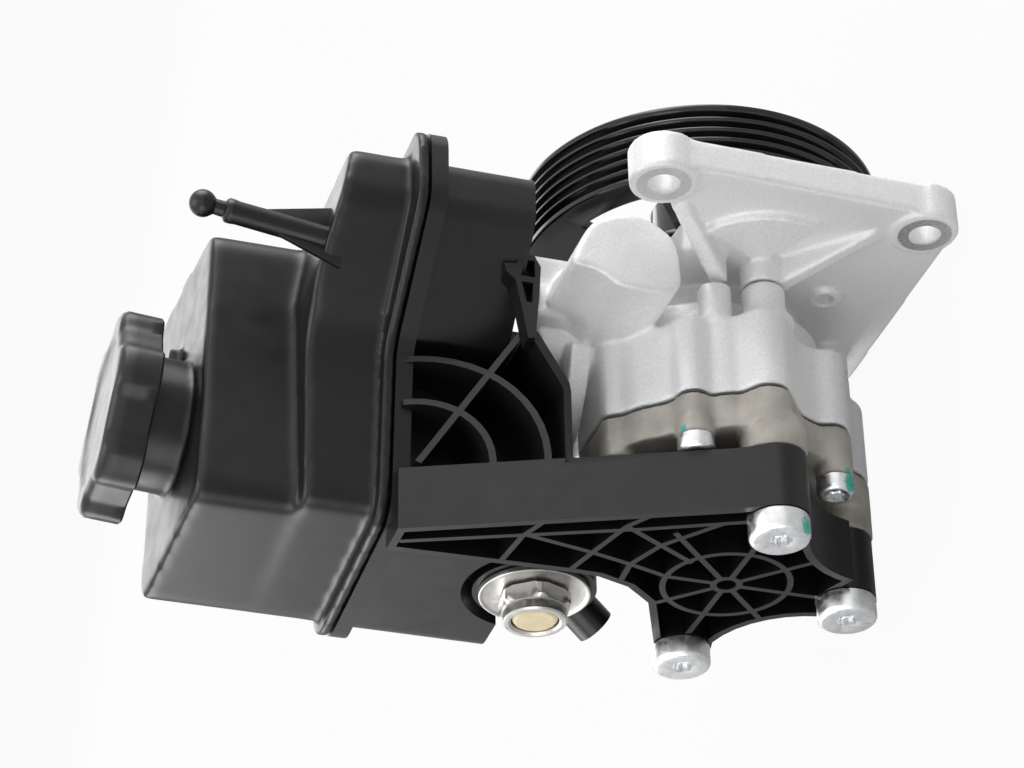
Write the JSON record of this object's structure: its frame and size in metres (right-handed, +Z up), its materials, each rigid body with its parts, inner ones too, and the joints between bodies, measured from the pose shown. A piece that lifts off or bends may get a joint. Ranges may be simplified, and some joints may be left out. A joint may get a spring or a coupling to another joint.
{
  "type": "power steering pump",
  "caption": "Belt-driven power steering pump in a cast aluminium body, with a black plastic oil reservoir above it and a ribbed bracket.",
  "frame": {"origin": "centre of the drive shaft's nose face, in the plane of the pulley's outer rim", "axes": "+Y along the shaft axis, out of the pump past the pulley; +Z up to the filler cap; +X to the side where the bracket's long edge is"},
  "size_m": [0.1494, 0.1342, 0.2275],
  "materials": {
    "pulley_paint": "gloss",
    "ground_steel": "ground",
    "cast_aluminium": "as cast",
    "cover_casting": "rough cast, dull",
    "zinc_steel": "zinc plated",
    "bush_bronze": "turned",
    "seal_rubber": "matt",
    "gasket_grey": "matt",
    "black_plastic": "satin",
    "plug_plastic": "matt",
    "filter_paper": "matt"
  },
  "bodies": {
    "pump_body": {"front_pressure_plate": "ground_steel", "rear_pressure_plate": "ground_steel", "cam_ring": "ground_steel", "dowel_pin_1": "ground_steel", "dowel_pin_2": "ground_steel", "front_flange": "cast_aluminium", "shaft_seal": "seal_rubber", "front_bush": "bush_bronze", "pump_housing": "cast_aluminium", "spool_spring": "ground_steel", "valve_plug": "ground_steel", "suction_seal": "seal_rubber", "cover_gasket": "gasket_grey", "rear_cover": "cover_casting", "rear_bush": "bush_bronze", "bracket_screw_1": "zinc_steel", "bracket_screw_2": "zinc_steel", "bracket_screw_3": "zinc_steel", "cover_screw_1": "zinc_steel", "cover_screw_2": "zinc_steel", "cover_screw_3": "zinc_steel", "cover_screw_4": "zinc_steel", "cover_screw_5": "zinc_steel", "bracket_sleeve_1": "zinc_steel", "bracket_sleeve_2": "zinc_steel", "bracket_sleeve_3": "zinc_steel", "union_washer": "zinc_steel", "pressure_union": "zinc_steel", "transport_plug": "plug_plastic", "reservoir_top": "black_plastic", "reservoir_base": "black_plastic", "filter_element": "filter_paper"},
    "rotating_group": {"pulley": "pulley_paint", "drive_shaft": "ground_steel", "rotor": "ground_steel", "vane_1": "ground_steel", "vane_2": "ground_steel", "vane_3": "ground_steel", "vane_4": "ground_steel", "vane_5": "ground_steel", "vane_6": "ground_steel", "vane_7": "ground_steel", "vane_8": "ground_steel", "vane_9": "ground_steel", "vane_10": "ground_steel"},
    "cap_carrier": {"cap_seal": "seal_rubber"},
    "cap_knob": {"filler_cap": "black_plastic", "dipstick": "black_plastic"},
    "valve_spool": {"flow_spool": "ground_steel"}
  },
  "joints": [
    {"name": "pulley_spin", "type": "hinge", "parent": "pump_body", "child": "rotating_group", "pos_m": [0, 0, 0], "axis": [0, 1, 0], "continuous": true},
    {"name": "cap_lift", "type": "slide", "parent": "pump_body", "child": "cap_carrier", "axis": [0, 0.0785, 0.9969], "range_m": [0, 0.004], "stiffness_N_per_m": 0.05, "springref_m": 5.5817},
    {"name": "cap_turn", "type": "hinge", "parent": "cap_carrier", "child": "cap_knob", "pos_m": [-0.034, -0.082, 0.1485], "axis": [0, 0.0785, 0.9969], "range_deg": [0, 360]},
    {"name": "spool_slide", "type": "slide", "parent": "pump_body", "child": "valve_spool", "axis": [0, 0, -1], "range_m": [0, 0.0035], "stiffness_N_per_m": 2000, "springref_m": -0.004, "deforming": ["spool_spring"]}
  ],
  "couplings": [
    {"joint": "cap_lift", "follows": "cap_turn", "m_per_rad": 0.000636}
  ]
}
